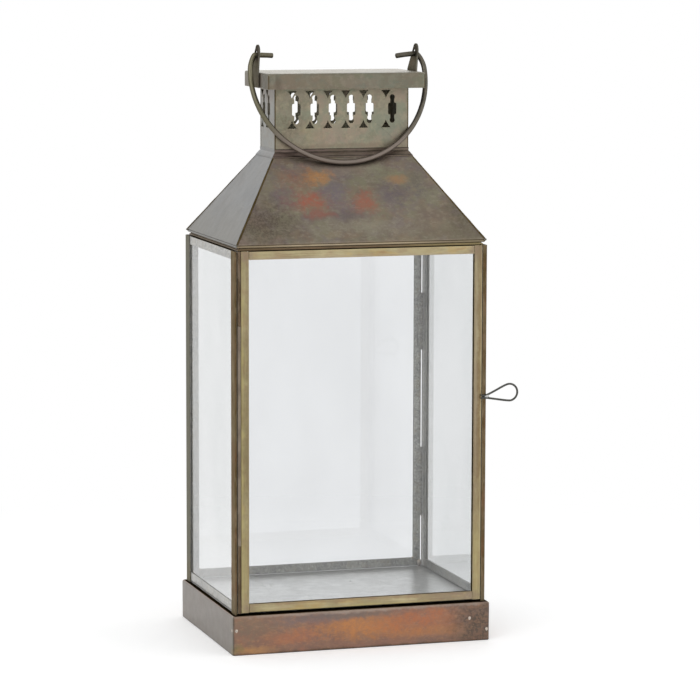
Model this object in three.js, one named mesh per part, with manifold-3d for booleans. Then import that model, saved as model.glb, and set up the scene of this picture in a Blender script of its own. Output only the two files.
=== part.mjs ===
// Rectangular sheet-metal lantern with a glazed door, a pierced vent and a swinging wire bail.
// Millimetres. +Z up, +X to the right along the front, the door faces -Y.
// The origin is the middle of the underside of the plinth.
import * as THREE from 'three';
import Module from 'manifold-3d';
import { mergeVertices } from 'three/addons/utils/BufferGeometryUtils.js';

const wasm = await Module();
wasm.setup();

// Sheet metal stock and the clearances between pieces
const sheet = 0.8; // roof, vent and cap
const thinSheet = 0.5; // channels and corner posts
const glassThickness = 1.1;
const glassSlack = 0.1; // between a pane and each lip of its channel
const seam = 0.3; // between neighbours that are soldered or rest on each other
const wrap = 0.15; // between a post and the channels that it wraps

// Glazed body
const bodyWidth = 194.3;
const bodyDepth = 142.1;
const bodyHeight = 267.1;
const postSideLeg = 10.5;
const postFrontLeg = 3.1;
const railHeight = 6.6;
const backStile = 5.8;
const cornerSlit = 1.6; // open slit between the back panel and each side panel
const glassGrip = 4; // how far a pane reaches into its channels
const tabWidth = 4.2; // soldered tabs that bridge the corner slits
const tabChamfer = 3;
const lowerTab = { foot: 40.1, height: 55 }; // above the foot of the body
const upperTab = { foot: 172.1, height: 45 };

// Plinth and floor
const plinthHeight = 29.3;
const plinthEndLedge = 2.85; // past the body at the left and right
const plinthSideLedge = 4.05; // past the body at the front and back
const plinthSheet = 1.2;
const plinthFold = 1.6; // radius of the folded top edge
const plinthRim = 9; // width of the turned-in rim that it stands on
const plinthCorner = 1.4;
const floorThickness = 1;

// Door
const doorThickness = 4.5;
const doorBar = 6.2; // width of the door's four channels
const doorTopGap = 0.4; // below the ceiling frame
const latchGap = 0.45; // between the latch stile and the right post
const hingeProud = 0.85; // hinge axis ahead of the front face
const hingeInset = 0.1; // and inside the inner face of the side panel
const knuckleRadius = 1.2;
const knuckleBore = 0.75;
const knuckleFacets = 20;
const hingePinRadius = 0.5;
const hingePinFacets = 12;
const lowerKnuckle = 50.1; // length of the bottom knuckle
const upperKnuckle = 54.5; // length of the top knuckle

// Wire pull
const pullWire = 1.55;
const pullHeight = 153.7; // above the foot of the body
const pullSeat = 0.8; // length of wire soldered to the stile
const pullBend = 1; // the legs part this far inside the edge of the post
const pullReach = 25.4; // past that bend
const pullEnd = 6.3; // radius of the round end
const pullLift = 2.6; // middle of the round end above the legs
const pullArc = [110, -103]; // degrees between which the end is round
const pullArcSteps = 9;
const pullSides = 8;
const pullSteps = 56;

// Roof
const ceilingThickness = 1.6;
const ceilingWidth = 9;
const ceilingSetback = 2;
const ceilingCorner = 1;
const eaveEndInset = 1.5; // inside the body at the left and right
const eaveSideLedge = 0.25; // past the body at the front and back
const hemHeight = 1.9;
const hemWidth = 3.2;
const hemCorner = 0.8;
const roofRise = 63.2;
const hipGap = 0.25; // each roof sheet stops this far short of the hip
const collarDrop = 3.8; // how far the vent collar reaches down the roof
const collarRise = 2.6;
const collarKnee = 0.1; // height above the roof where it turns up
const collarSheet = 0.6;
const collarCorner = 0.4;

// Vent and its cap
const ventWidth = 103.9;
const ventDepth = 38.9;
const ventShown = 47.4; // from the roof to the skirt of the cap
const capHeight = 11.6;
const capEndOverhang = 8.85;
const capSideOverhang = 13.5;
const capCrown = 0.5;
const capFold = 1.3;
const capCorner = 1.6;

// Pierced motifs, with places along a wall to the right as seen from outside
const motifDrop = 15.8; // middle of the slots below the skirt of the cap
const slotHalfHeight = 10.7;
const slotBulb = 2.1;
const slotNeck = 1.6;
const slotHalfWidth = 3.3;
const slotShoulder = 4.4; // half height of the wide part
const slotCorner = 1;
const slotBulbSteps = 8;
const slotCornerSteps = 2;
const dartHalfWidth = 3.7;
const dartHeight = 5.9;
const dartBase = 14; // from the middle of the slots to the base of a dart
const dartTaper = 1.4; // power of the taper, above 1 for concave sides
const dartSteps = 3;
const frontSlots = { first: -35.3, pitch: 14.2, count: 5, extra: 17.9, dartShift: 3.4, dartDrift: 0.33 };
const backSlots = { first: -34, pitch: 15.1, count: 5, extra: 15.1, dartShift: 4.2, dartDrift: 0 };
const sideSlots = { first: -10.1, pitch: 13, count: 2, extra: 0, dartShift: 4.2, dartDrift: 0 };

// Ears
const earThickness = 1.2;
const earHole = 3; // radius
const earFoot = 0.5; // above the skirt of the cap
const earKnee = 1; // above the top of the cap
const earRise = 20.6; // above the top of the cap
const earTipRadius = 4.8;
const earTipPlace = -7.6;
const earTipStart = 36; // degrees, where the sloping rear edge runs into the round tip
const earCurveSteps = 10;
const earFront = -9.5;
const earRear = 11;

// Bail
const bailWire = 1.9; // radius
const bailAxisY = -4.5;
const bailAxisDrop = 7.8; // pin axis below the tip of an ear
const bailSpread = 5.8; // from the ear to the middle of the wire where the bow is widest
const bailDrop = 16.3; // from the pin axis to the middle of the bow
const bailHalfHeight = 66.2; // of the bow
const bailOffset = 0.35; // the bow is bent a little to the right
const bailLeftPin = 11.3; // length of the free ends inside the ears
const bailRightPin = 13.9;
const bailLevel = 0.8; // the wire stays level this far past the ear
const bailElbow = 0.5; // length of the tight start of each shoulder
const bailShoulder = 11.5; // depth where the shoulder meets the bow
const bailEase = 6.5; // length of the easy end of each shoulder
const bailPlay = 0.3; // between the resting wire and what it rests on
const bailSides = 10;
const bailSteps = 130;
const bailBowSteps = 26;
const bailShoulderSteps = 8;

// Finishes
const finish = (color, roughness, metalness) =>
  new THREE.MeshStandardMaterial({ color, roughness, metalness });
const copperPatina = finish(0x906a52, 0.55, 0.8);
const roofPatina = finish(0x6b5a4c, 0.5, 0.8);
const roofSide = finish(0x97938a, 0.45, 0.8);
const postBrown = finish(0x6b5847, 0.5, 0.8);
const channelGrey = finish(0xa8a69c, 0.45, 0.8);
const doorBrass = finish(0xa8986c, 0.4, 0.9);
const ventBrass = finish(0x8a8470, 0.5, 0.8);
const darkWire = finish(0x4a4a44, 0.5, 0.8);
const paleFloor = finish(0xc0c0be, 0.4, 0.8);
const glass = finish(0xe4e6e8, 0.05, 0);
glass.transparent = true;
glass.opacity = 0.3;

const lantern = new THREE.Group();

function place(name, geometry, material, parent = lantern) {
  const mesh = new THREE.Mesh(geometry, material);
  mesh.name = name;
  parent.add(mesh);
  return mesh;
}

// Booleans
function toManifold(geometry) {
  const bare = geometry.clone();
  bare.deleteAttribute('normal');
  bare.deleteAttribute('uv');
  const merged = mergeVertices(bare, 1e-4);
  return new wasm.Manifold(new wasm.Mesh({
    numProp: 3,
    vertProperties: new Float32Array(merged.attributes.position.array),
    triVerts: new Uint32Array(merged.index.array),
  }));
}

function toGeometry(manifold) {
  const mesh = manifold.getMesh();
  const geometry = new THREE.BufferGeometry();
  geometry.setAttribute('position', new THREE.BufferAttribute(mesh.vertProperties, 3));
  geometry.setIndex(new THREE.BufferAttribute(mesh.triVerts, 1));
  geometry.computeVertexNormals();
  return geometry;
}

function box(x0, x1, y0, y1, z0, z1) {
  const geometry = new THREE.BoxGeometry(x1 - x0, y1 - y0, z1 - z0);
  return geometry.translate((x0 + x1) / 2, (y0 + y1) / 2, (z0 + z1) / 2);
}

// Solids lofted through rounded rectangles, each { x, y, z, r } with half sizes and a corner radius.
// A closed loft is a ring that returns to its first rectangle; an open one is capped at both ends,
// and the first cap may rise by a crown.
const cornerSteps = 3;

function loft(rectangles, closed, crown = 0) {
  const points = [];
  const perRing = 4 * (cornerSteps + 1);
  for (const { x, y, z, r } of rectangles) {
    for (let corner = 0; corner < 4; corner++) {
      const cx = (corner === 0 || corner === 3 ? 1 : -1) * (x - r);
      const cy = (corner < 2 ? 1 : -1) * (y - r);
      for (let step = 0; step <= cornerSteps; step++) {
        const angle = (corner + step / cornerSteps) * Math.PI / 2;
        points.push(cx + r * Math.cos(angle), cy + r * Math.sin(angle), z);
      }
    }
  }
  const index = [];
  const bands = closed ? rectangles.length : rectangles.length - 1;
  for (let band = 0; band < bands; band++) {
    const here = band * perRing;
    const next = ((band + 1) % rectangles.length) * perRing;
    for (let i = 0; i < perRing; i++) {
      const j = (i + 1) % perRing;
      index.push(here + i, next + i, next + j, here + i, next + j, here + j);
    }
  }
  if (!closed) {
    const last = (rectangles.length - 1) * perRing;
    const top = points.length / 3;
    points.push(0, 0, rectangles[0].z + crown);
    points.push(0, 0, rectangles[rectangles.length - 1].z);
    for (let i = 0; i < perRing; i++) {
      const j = (i + 1) % perRing;
      index.push(top, i, j);
      index.push(top + 1, last + j, last + i);
    }
  }
  const geometry = new THREE.BufferGeometry();
  geometry.setAttribute('position', new THREE.Float32BufferAttribute(points, 3));
  geometry.setIndex(index);
  geometry.computeVertexNormals();
  return geometry;
}

// A channel bar: a U section whose back is at `start`, opening along `open`, running along `along`
function channelBar(name, start, along, open, length, width, thickness, material, parent = lantern) {
  const half = thickness / 2;
  const lip = half - thinSheet;
  const section = new THREE.Shape([
    new THREE.Vector2(-half, 0), new THREE.Vector2(half, 0),
    new THREE.Vector2(half, width), new THREE.Vector2(lip, width),
    new THREE.Vector2(lip, thinSheet), new THREE.Vector2(-lip, thinSheet),
    new THREE.Vector2(-lip, width), new THREE.Vector2(-half, width),
  ]);
  const geometry = new THREE.ExtrudeGeometry(section, { depth: length, bevelEnabled: false });
  const mesh = place(name, geometry, material, parent);
  const across = new THREE.Vector3().crossVectors(open, along);
  mesh.setRotationFromMatrix(new THREE.Matrix4().makeBasis(across, open, along));
  mesh.position.copy(start);
  return mesh;
}

const X = new THREE.Vector3(1, 0, 0);
const Y = new THREE.Vector3(0, 1, 0);
const Z = new THREE.Vector3(0, 0, 1);
const minus = (v) => v.clone().negate();

// Levels and half sizes shared by all pieces
const floorBottom = plinthHeight + seam;
const floorTop = floorBottom + floorThickness;
const bodyBottom = floorTop + seam;
const bodyTop = bodyBottom + bodyHeight;
const ceilingBottom = bodyTop + seam;
const hemBottom = ceilingBottom + ceilingThickness + seam;
const hemTop = hemBottom + hemHeight;
const roofFoot = hemTop + seam;
const roofTop = roofFoot + roofRise;
const capBottom = roofTop + ventShown;
const capTop = capBottom + capHeight;
const capCeiling = capTop - sheet;
const halfBodyX = bodyWidth / 2;
const halfBodyY = bodyDepth / 2;
const halfEaveX = halfBodyX - eaveEndInset;
const halfEaveY = halfBodyY + eaveSideLedge;
const halfVentX = ventWidth / 2;
const halfVentY = ventDepth / 2;
const halfCapX = halfVentX + capEndOverhang;
const halfCapY = halfVentY + capSideOverhang;

// Layout of the glazed body
const channelThickness = 2 * (thinSheet + glassSlack) + glassThickness;
const sideOuter = halfBodyX - thinSheet - wrap;
const sideInner = sideOuter - channelThickness;
const sideEnd = halfBodyY - thinSheet - wrap;
const sideStile = postSideLeg - thinSheet - wrap;
const hingeX = -sideInner + hingeInset;
const hingeY = -halfBodyY - hingeProud;
const doorLeft = hingeX + knuckleRadius + seam;
const doorRight = halfBodyX - postFrontLeg - latchGap;
const doorBottom = bodyBottom;
const doorTop = ceilingBottom - doorTopGap;
const doorBack = -halfBodyY + doorThickness;

// Plinth: an inverted folded tray with a turned-in rim, a plate that closes its underside, and the
// floor plate on top
function plinthRing(inset, z, r) {
  return { x: halfBodyX + plinthEndLedge - inset, y: halfBodyY + plinthSideLedge - inset, z, r };
}

const foldInset = (radius) => radius * (1 - Math.SQRT1_2); // of a fold's middle from each face
const plinthInset = foldInset(plinthFold);
place('base_tray', loft([
  plinthRing(plinthFold, plinthHeight, plinthCorner / 2),
  plinthRing(plinthInset, plinthHeight - plinthInset, plinthCorner),
  plinthRing(0, plinthHeight - plinthFold, plinthCorner),
  plinthRing(0, 0, plinthCorner),
  plinthRing(plinthRim, 0, plinthCorner / 2),
  plinthRing(plinthRim, plinthSheet, plinthCorner / 2),
  plinthRing(plinthSheet, plinthSheet, plinthCorner / 2),
  plinthRing(plinthSheet, plinthHeight - plinthSheet, plinthCorner / 2),
], false), copperPatina);

const plateX = halfBodyX + plinthEndLedge - plinthRim - seam;
const plateY = halfBodyY + plinthSideLedge - plinthRim - seam;
place('base_plate', box(-plateX, plateX, -plateY, plateY, 0, plinthSheet), copperPatina);

place('floor_plate', box(
  -sideOuter + wrap, sideOuter - wrap,
  doorBack + seam, halfBodyY - thinSheet - seam,
  floorBottom, floorTop,
), paleFloor);

// Corner posts: thin angles that wrap the ends of the side panels
function cornerPost(name, side, end, frontLeg) {
  const outline = [
    [0, 0], [frontLeg, 0], [frontLeg, thinSheet],
    [thinSheet, thinSheet], [thinSheet, postSideLeg], [0, postSideLeg],
  ];
  const section = new THREE.Shape(outline.map(([u, v]) =>
    new THREE.Vector2(side * (halfBodyX - u), end * (halfBodyY - v))));
  const height = bodyTop - floorBottom;
  const geometry = new THREE.ExtrudeGeometry(section, { depth: height, bevelEnabled: false });
  place(name, geometry.translate(0, 0, floorBottom), postBrown);
}

const hingeLeg = halfBodyX + hingeX - knuckleRadius - seam;
cornerPost('post_front_left', -1, -1, hingeLeg);
cornerPost('post_front_right', 1, -1, postFrontLeg);
cornerPost('post_rear_left', -1, 1, postFrontLeg);
cornerPost('post_rear_right', 1, 1, postFrontLeg);

// Side panels: four channels round a pane
function sidePanel(prefix, side) {
  const middle = side * (sideOuter + sideInner) / 2;
  const stile = (end, at, open) => channelBar(
    `${prefix}_${end}_stile`, new THREE.Vector3(middle, at, bodyBottom), Z, open,
    bodyHeight, sideStile, channelThickness, channelGrey);
  stile('front', -sideEnd, Y);
  stile('rear', sideEnd, minus(Y));
  const railEnd = sideEnd - sideStile - seam;
  const rail = (level, z, open) => channelBar(
    `${prefix}_${level}_rail`, new THREE.Vector3(middle, -railEnd, z), Y, open,
    2 * railEnd, railHeight, channelThickness, channelGrey);
  rail('top', bodyTop, minus(Z));
  rail('bottom', bodyBottom, Z);
  const half = glassThickness / 2;
  const paneEnd = sideEnd - sideStile + glassGrip;
  place(`${prefix}_glass`, box(
    middle - half, middle + half, -paneEnd, paneEnd,
    bodyBottom + railHeight - glassGrip, bodyTop - railHeight + glassGrip,
  ), glass);
}

sidePanel('left_panel', -1);
sidePanel('right_panel', 1);

// Back panel, between the side panels with an open slit at each corner
const backHalf = sideInner - cornerSlit;
const backMiddle = halfBodyY - channelThickness / 2;

function backPanel() {
  const stile = (side, sign) => channelBar(
    `back_panel_${side}_stile`, new THREE.Vector3(sign * backHalf, backMiddle, bodyBottom),
    Z, sign > 0 ? minus(X) : X, bodyHeight, backStile, channelThickness, channelGrey);
  stile('left', -1);
  stile('right', 1);
  const railEnd = backHalf - backStile - seam;
  const rail = (level, z, open) => channelBar(
    `back_panel_${level}_rail`, new THREE.Vector3(-railEnd, backMiddle, z), X, open,
    2 * railEnd, railHeight, channelThickness, channelGrey);
  rail('top', bodyTop, minus(Z));
  rail('bottom', bodyBottom, Z);
  const half = glassThickness / 2;
  const paneHalf = backHalf - backStile + glassGrip;
  place('back_panel_glass', box(
    -paneHalf, paneHalf, backMiddle - half, backMiddle + half,
    bodyBottom + railHeight - glassGrip, bodyTop - railHeight + glassGrip,
  ), glass);
}

backPanel();

// Tabs soldered across the corner slits, inside the body
function cornerTab(name, side, { foot, height }) {
  const low = bodyBottom + foot;
  const high = low + height;
  const inner = sideInner - seam - tabWidth;
  const outer = sideInner - seam;
  const outline = [
    [outer, low], [outer, high], [inner + tabChamfer, high],
    [inner, high - tabChamfer], [inner, low + tabChamfer], [inner + tabChamfer, low],
  ];
  const shape = new THREE.Shape(outline.map(([u, z]) => new THREE.Vector2(side * u, z)));
  const geometry = new THREE.ExtrudeGeometry(shape, { depth: thinSheet, bevelEnabled: false });
  geometry.rotateX(Math.PI / 2);
  place(name, geometry.translate(0, halfBodyY - channelThickness - seam, 0), channelGrey);
}

for (const [side, sign] of [['left', -1], ['right', 1]]) {
  cornerTab(`corner_tab_${side}_lower`, sign, lowerTab);
  cornerTab(`corner_tab_${side}_upper`, sign, upperTab);
}

// Door: four channels round a pane, the middle hinge knuckle and a wire pull
const door = new THREE.Group();
lantern.add(door);

function buildDoor() {
  const middle = -halfBodyY + doorThickness / 2;
  const height = doorTop - doorBottom;
  channelBar('door_hinge_stile', new THREE.Vector3(doorLeft, middle, doorBottom), Z, X,
    height, doorBar, doorThickness, doorBrass, door);
  channelBar('door_latch_stile', new THREE.Vector3(doorRight, middle, doorBottom), Z, minus(X),
    height, doorBar, doorThickness, doorBrass, door);
  const railStart = doorLeft + doorBar + seam;
  const railLength = doorRight - doorBar - seam - railStart;
  channelBar('door_top_rail', new THREE.Vector3(railStart, middle, doorTop), X, minus(Z),
    railLength, doorBar, doorThickness, doorBrass, door);
  channelBar('door_bottom_rail', new THREE.Vector3(railStart, middle, doorBottom), X, Z,
    railLength, doorBar, doorThickness, doorBrass, door);
  // The pane fills the channels to their backs, because the channels are wider than its thickness
  const half = glassThickness / 2;
  const edge = thinSheet + seam;
  place('door_glass', box(
    doorLeft + edge, doorRight - edge, middle - half, middle + half, doorBottom + edge, doorTop - edge,
  ), glass, door);
}

buildDoor();

// Rolled hinge: tubes with a bore on the hinge axis, and the pin through them
function knuckle(name, z0, z1, material, parent) {
  const profile = [
    [knuckleBore, z0], [knuckleRadius, z0], [knuckleRadius, z1], [knuckleBore, z1], [knuckleBore, z0],
  ];
  const points = profile.map(([r, z]) => new THREE.Vector2(r, z));
  const geometry = new THREE.LatheGeometry(points, knuckleFacets).rotateX(Math.PI / 2);
  place(name, geometry.translate(hingeX, hingeY, 0), material, parent);
}

function hinge() {
  const low = doorBottom + lowerKnuckle;
  const high = doorTop - upperKnuckle;
  knuckle('door_knuckle', low + seam, high - seam, doorBrass, door);
  knuckle('hinge_knuckle_bottom', doorBottom, low, postBrown, lantern);
  knuckle('hinge_knuckle_top', high, doorTop, postBrown, lantern);
  const length = doorTop - doorBottom;
  const pin = new THREE.CylinderGeometry(hingePinRadius, hingePinRadius, length, hingePinFacets);
  place('hinge_pin', pin.rotateX(Math.PI / 2).translate(hingeX, hingeY, doorBottom + length / 2), darkWire);
}

hinge();

// Wires
function wireSection(radius, sides) {
  const shape = new THREE.Shape();
  for (let i = 0; i < sides; i++) {
    const angle = (i + 0.5) * 2 * Math.PI / sides;
    const point = [radius * Math.cos(angle), radius * Math.sin(angle)];
    if (i === 0) shape.moveTo(...point);
    else shape.lineTo(...point);
  }
  return shape;
}

function wire(points, radius, sides, steps) {
  const extrudePath = new THREE.CatmullRomCurve3(points, false, 'centripetal');
  return new THREE.ExtrudeGeometry(wireSection(radius, sides), { steps, extrudePath });
}

// The pull: a teardrop of wire across the right post, its two ends on the latch stile
function pullLoop() {
  const y = -halfBodyY - seam - pullWire / 2;
  const tail = doorRight - pullSeat;
  const bend = halfBodyX - pullBend;
  const apart = (pullWire + seam) / 2;
  const [from, to] = pullArc.map(THREE.MathUtils.degToRad);
  const round = arc(bend + pullReach - pullEnd, pullLift, pullEnd, from, to, pullArcSteps);
  const outline = [
    new THREE.Vector2(tail, apart), new THREE.Vector2(bend, apart), ...round,
    new THREE.Vector2(bend, -apart), new THREE.Vector2(tail, -apart),
  ];
  const height = bodyBottom + pullHeight;
  const points = outline.map((point) => new THREE.Vector3(point.x, y, height + point.y));
  place('door_pull_loop', wire(points, pullWire / 2, pullSides, pullSteps), darkWire, door);
}

pullLoop();

// Ceiling frame under the eave, and the hem round the foot of the roof
function ringSection(outer, inner, z0, z1, r) {
  const ring = ([x, y], z, radius) => ({ x, y, z, r: radius });
  return loft([
    ring(outer, z1, r), ring(outer, z0, r), ring(inner, z0, r / 2), ring(inner, z1, r / 2),
  ], true);
}

const ceilingOuter = [halfEaveX - ceilingSetback, halfEaveY - ceilingSetback];
const ceilingInner = ceilingOuter.map((half) => half - ceilingWidth);
const ceilingTop = ceilingBottom + ceilingThickness;
place('ceiling_frame',
  ringSection(ceilingOuter, ceilingInner, ceilingBottom, ceilingTop, ceilingCorner), roofPatina);
const hemOuter = [halfEaveX, halfEaveY];
const hemInner = hemOuter.map((half) => half - hemWidth);
place('eave_hem', ringSection(hemOuter, hemInner, hemBottom, hemTop, hemCorner), roofPatina);

// Roof: four sheets that meet at the hips
const runX = halfEaveX - halfVentX;
const runY = halfEaveY - halfVentY;
const shareX = Math.hypot(runX, roofRise) / roofRise; // horizontal width of a unit thickness, side sheets
const shareY = Math.hypot(runY, roofRise) / roofRise; // and front and back sheets
const roofHalfX = (z) => halfVentX + runX * (roofTop - z) / roofRise;
const roofHalfY = (z) => halfVentY + runY * (roofTop - z) / roofRise;

// A solid between two four-cornered faces, whose corners match one to one
function slab(outerFace, innerFace) {
  const corners = [...outerFace, ...innerFace];
  const index = [0, 1, 2, 0, 2, 3, 6, 5, 4, 7, 6, 4];
  for (let i = 0; i < 4; i++) {
    const j = (i + 1) % 4;
    index.push(i, i + 4, j + 4, i, j + 4, j);
  }
  const geometry = new THREE.BufferGeometry();
  geometry.setAttribute('position', new THREE.Float32BufferAttribute(corners.flat(), 3));
  geometry.setIndex(index);
  geometry.computeVertexNormals();
  return geometry;
}

function roofSheets() {
  const thickX = sheet * shareX;
  const thickY = sheet * shareY;
  // Front sheet, seen from outside: bottom left, bottom right, top right, top left
  const front = (x0, y0, x1, y1) => [
    [-x0 + hipGap, -y0, roofFoot], [x0 - hipGap, -y0, roofFoot],
    [x1 - hipGap, -y1, roofTop], [-x1 + hipGap, -y1, roofTop],
  ];
  const right = (x0, y0, x1, y1) => [
    [x0, -y0 + hipGap, roofFoot], [x0, y0 - hipGap, roofFoot],
    [x1, y1 - hipGap, roofTop], [x1, -y1 + hipGap, roofTop],
  ];
  const outer = [halfEaveX, halfEaveY, halfVentX, halfVentY];
  const inner = [halfEaveX - thickX, halfEaveY - thickY, halfVentX - thickX, halfVentY - thickY];
  place('roof_front', slab(front(...outer), front(...inner)), roofPatina);
  place('roof_back', slab(front(...outer), front(...inner)), roofPatina).rotation.z = Math.PI;
  place('roof_right', slab(right(...outer), right(...inner)), roofSide);
  place('roof_left', slab(right(...outer), right(...inner)), roofSide).rotation.z = Math.PI;
}

roofSheets();

// Collar: a flange on the roof that turns up round the foot of the vent
function collar() {
  const foot = roofTop - collarDrop;
  const knee = roofTop + collarKnee;
  const top = roofTop + collarRise;
  const r = collarCorner;
  const onRoof = (z, off) => ({ x: roofHalfX(z) + off * shareX, y: roofHalfY(z) + off * shareY, z, r });
  const onVent = (z, off) => ({ x: halfVentX + off, y: halfVentY + off, z, r });
  const out = seam + collarSheet;
  place('vent_collar', loft([
    onVent(top, out), onVent(knee, out), onRoof(foot, out),
    onRoof(foot, seam), onVent(knee, seam), onVent(top, seam),
  ], true), roofPatina);
}

collar();

// Vent walls, pierced with slots and darts
const ventFoot = roofTop + seam;
const ventTop = capCeiling - seam;
const motifMiddle = capBottom - motifDrop;

function arc(cx, cy, radius, from, to, steps) {
  const points = [];
  for (let i = 0; i <= steps; i++) {
    const angle = from + (to - from) * i / steps;
    points.push(new THREE.Vector2(cx + radius * Math.cos(angle), cy + radius * Math.sin(angle)));
  }
  return points;
}

// The outline has point symmetry, so its second half is the first one turned about the middle
function slotHole(u) {
  const bulbMiddle = slotHalfHeight - slotBulb;
  const throat = Math.acos(slotNeck / slotBulb);
  const shoulder = slotHalfWidth - slotCorner;
  const waist = slotShoulder - slotCorner;
  const half = [
    ...arc(0, bulbMiddle, slotBulb, -throat, Math.PI + throat, slotBulbSteps),
    new THREE.Vector2(-slotNeck, slotShoulder),
    ...arc(-shoulder, waist, slotCorner, Math.PI / 2, Math.PI, slotCornerSteps),
    ...arc(-shoulder, -waist, slotCorner, Math.PI, 1.5 * Math.PI, slotCornerSteps),
    new THREE.Vector2(-slotNeck, -slotShoulder),
  ];
  const turned = half.map((point) => point.clone().negate());
  const centre = new THREE.Vector2(u, motifMiddle);
  return new THREE.Shape([...half, ...turned].map((point) => point.add(centre)));
}

// A dart tapers to its apex between concave sides
function dartHole(u, up) {
  const base = motifMiddle + up * dartBase;
  const side = [];
  for (let i = 0; i < dartSteps; i++) {
    const t = i / dartSteps;
    side.push([dartHalfWidth * (1 - t) ** dartTaper, base - up * dartHeight * t]);
  }
  return new THREE.Shape([
    ...side.map(([half, z]) => new THREE.Vector2(u - half, z)),
    new THREE.Vector2(u, base - up * dartHeight),
    ...side.reverse().map(([half, z]) => new THREE.Vector2(u + half, z)),
  ]);
}

function ventWall(name, halfWidth, distance, turn, pattern, material) {
  const outside = -distance;
  let wall = toManifold(box(-halfWidth, halfWidth, outside, outside + sheet, ventFoot, ventTop));
  // The punch stands out of each face by the thickness of the wall
  const punch = (outline) => {
    const cutter = new THREE.ExtrudeGeometry(outline, { depth: 3 * sheet, bevelEnabled: false });
    cutter.rotateX(Math.PI / 2).translate(0, outside + 2 * sheet, 0);
    wall = wall.subtract(toManifold(cutter));
  };
  const total = pattern.count + (pattern.extra > 0 ? 1 : 0);
  for (let i = 0; i < total; i++) {
    const regular = Math.min(i, pattern.count - 1);
    const u = pattern.first + regular * pattern.pitch + (i - regular) * pattern.extra;
    const dart = u - pattern.dartShift - i * pattern.dartDrift;
    punch(slotHole(u));
    punch(dartHole(dart, 1));
    punch(dartHole(dart, -1));
  }
  place(name, toGeometry(wall), material).rotation.z = turn;
}

const sideWallHalf = halfVentY - sheet - seam;
ventWall('vent_front', halfVentX, halfVentY, 0, frontSlots, ventBrass);
ventWall('vent_right', sideWallHalf, halfVentX, Math.PI / 2, sideSlots, ventBrass);
ventWall('vent_back', halfVentX, halfVentY, Math.PI, backSlots, ventBrass);
ventWall('vent_left', sideWallHalf, halfVentX, -Math.PI / 2, sideSlots, ventBrass);

// Cap: a shallow lid whose skirt stands clear of the vent
function capRing(inset, z, r) {
  return { x: halfCapX - inset, y: halfCapY - inset, z, r };
}

const capInset = foldInset(capFold);
place('vent_cap', loft([
  capRing(capFold, capTop, capCorner / 2),
  capRing(capInset, capTop - capInset, capCorner),
  capRing(0, capTop - capFold, capCorner),
  capRing(0, capBottom, capCorner),
  capRing(sheet, capBottom, capCorner / 2),
  capRing(sheet, capCeiling, capCorner / 2),
], false, capCrown), roofPatina);

// Ears: flat tabs on the ends of the cap, each with a hole wider than the wire
const earTip = capTop + earRise;
const earStart = halfCapX + seam;
const earOutside = earStart + earThickness;
const bailAxisZ = earTip - bailAxisDrop;

function earPlate() {
  const foot = capBottom + earFoot;
  const knee = capTop + earKnee;
  const shape = new THREE.Shape();
  shape.moveTo(earFront, foot);
  shape.lineTo(earRear, foot);
  shape.lineTo(earRear, knee);
  const tipStart = THREE.MathUtils.degToRad(earTipStart);
  shape.absarc(earTipPlace, earTip - earTipRadius, earTipRadius, tipStart, Math.PI, false);
  shape.lineTo(earFront, knee);
  shape.closePath();
  const hole = new THREE.Path();
  const lift = earHole - bailWire - bailPlay; // the wire rests low in its hole
  hole.absarc(bailAxisY, bailAxisZ + lift, earHole, 0, 2 * Math.PI, false);
  shape.holes.push(hole);
  const geometry = new THREE.ExtrudeGeometry(shape, {
    depth: earThickness, bevelEnabled: false, curveSegments: earCurveSteps,
  });
  // Shape coordinates are (Y, Z); turn them upright and extrude along X
  return geometry.rotateX(Math.PI / 2).rotateZ(Math.PI / 2);
}

place('ear_right', earPlate(), darkWire).position.x = earStart;
place('ear_left', earPlate(), darkWire).position.x = -earOutside;

// Bail: free ends pointing inward through the ears, sloping shoulders, then a bow that hangs forward
// until it rests on the front of the roof
function bailLean() {
  const reach = bailDrop + bailHalfHeight;
  const slope = Math.atan2(runY, roofRise); // of the front sheet, from the vertical
  const away = bailWire + bailPlay;
  // The pin axis lies this far from the plane of the front sheet
  const start = -(bailAxisY + halfVentY) * Math.cos(slope) + (bailAxisZ - roofTop) * Math.sin(slope);
  return slope + Math.asin((away - start) / reach);
}

function bailPoints() {
  const halfWidth = earOutside + bailSpread;
  const straight = earOutside + bailLevel;
  const bowPoint = (angle, side) => new THREE.Vector3(
    bailOffset + side * halfWidth * Math.cos(angle), 0, -bailDrop - bailHalfHeight * Math.sin(angle));
  const joinAngle = Math.asin((bailShoulder - bailDrop) / bailHalfHeight);
  const shoulder = (side) => {
    const join = bowPoint(joinAngle, side);
    const along = new THREE.Vector3(
      side * halfWidth * Math.sin(joinAngle), 0, bailHalfHeight * Math.cos(joinAngle)).setLength(bailEase);
    return new THREE.CubicBezierCurve3(
      new THREE.Vector3(side * straight, 0, 0),
      new THREE.Vector3(side * (straight + bailElbow), 0, 0),
      join.clone().add(along),
      join,
    ).getPoints(bailShoulderSteps);
  };
  const pin = (side, length) => {
    const end = earStart - length;
    return [new THREE.Vector3(side * end, 0, 0), new THREE.Vector3(side * (end + straight) / 2, 0, 0)];
  };
  const bow = [];
  for (let i = 1; i < bailBowSteps; i++) {
    const angle = joinAngle + (Math.PI - 2 * joinAngle) * i / bailBowSteps;
    bow.push(bowPoint(angle, -1));
  }
  return [
    ...pin(-1, bailLeftPin), ...shoulder(-1), ...bow,
    ...shoulder(1).reverse(), ...pin(1, bailRightPin).reverse(),
  ];
}

const bail = place('bail', wire(bailPoints(), bailWire, bailSides, bailSteps), darkWire);
bail.position.set(0, bailAxisY, bailAxisZ);
bail.rotation.x = -bailLean();

export default lantern;
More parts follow.
